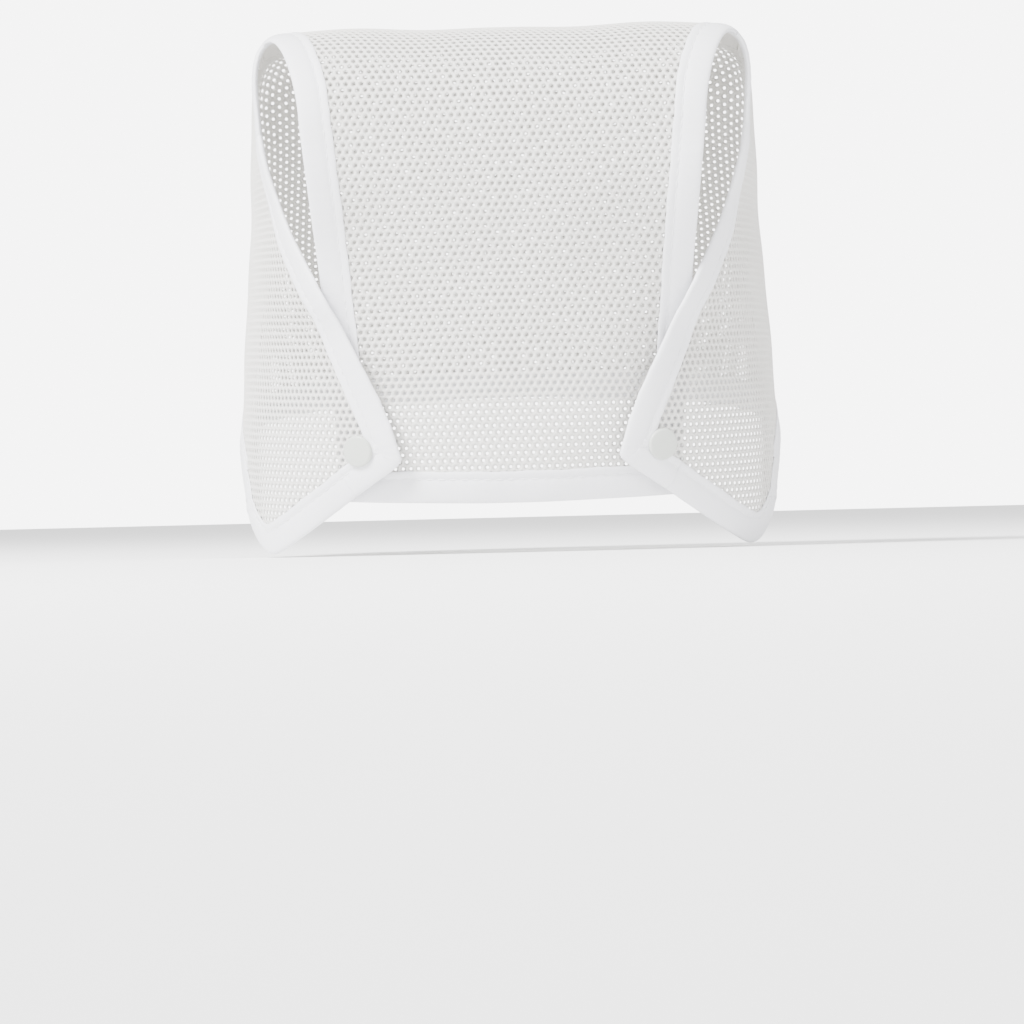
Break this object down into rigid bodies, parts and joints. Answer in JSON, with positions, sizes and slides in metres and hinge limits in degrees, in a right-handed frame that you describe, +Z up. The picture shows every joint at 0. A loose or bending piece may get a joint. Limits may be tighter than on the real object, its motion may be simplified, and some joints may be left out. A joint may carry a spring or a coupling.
{
  "type": "ventilated mesh cap",
  "caption": "White mesh cap for food or hygiene work, with a tape-bound back flap and side wings that close over it with press studs.",
  "frame": {"origin": "middle of the head opening, in the plane of the wings' two low corners", "axes": "+Z up, +Y towards the forehead, +X towards the wearer's right; the back flap faces -Y"},
  "size_m": [0.179, 0.1932, 0.1666],
  "materials": {
    "mesh_cloth": "white polyester warp-knit mesh with round holes, matt",
    "binding_tape": "white folded woven edge tape, lockstitched, soft sheen",
    "stud_cap": "light grey-white moulded plastic, satin gloss",
    "stud_works": "milky moulded plastic"
  },
  "bodies": {
    "cap_body": {"cap_panel": "mesh_cloth", "brow_binding": "binding_tape", "left_ear_binding": "binding_tape", "right_ear_binding": "binding_tape", "left_rim_binding": "binding_tape", "right_rim_binding": "binding_tape"},
    "back_flap": {"back_flap_panel": "mesh_cloth", "back_flap_hem_binding": "binding_tape", "left_back_flap_side_binding": "binding_tape", "right_back_flap_side_binding": "binding_tape", "left_snap_stud": "stud_works", "right_snap_stud": "stud_works", "left_snap_back": "stud_cap", "right_snap_back": "stud_cap"},
    "left_wing": {"left_wing_panel": "mesh_cloth", "left_wing_top_binding": "binding_tape", "left_wing_end_binding": "binding_tape", "left_snap_cap": "stud_cap", "left_snap_socket": "stud_works"},
    "right_wing": {"right_wing_panel": "mesh_cloth", "right_wing_top_binding": "binding_tape", "right_wing_end_binding": "binding_tape", "right_snap_cap": "stud_cap", "right_snap_socket": "stud_works"}
  },
  "joints": [
    {"name": "back_flap_tuck", "type": "hinge", "parent": "cap_body", "child": "back_flap", "pos_m": [0, -0.0645, 0.1643], "axis": [1, 0, 0], "range_deg": [0, 25]},
    {"name": "right_wing_open", "type": "hinge", "parent": "cap_body", "child": "right_wing", "pos_m": [0.0878, -0.028, 0.014], "axis": [-0.055, -0.2339, 0.9707], "range_deg": [0, 80]},
    {"name": "left_wing_open", "type": "hinge", "parent": "cap_body", "child": "left_wing", "pos_m": [-0.0878, -0.028, 0.014], "axis": [-0.055, 0.2339, -0.9707], "range_deg": [0, 80]}
  ]
}
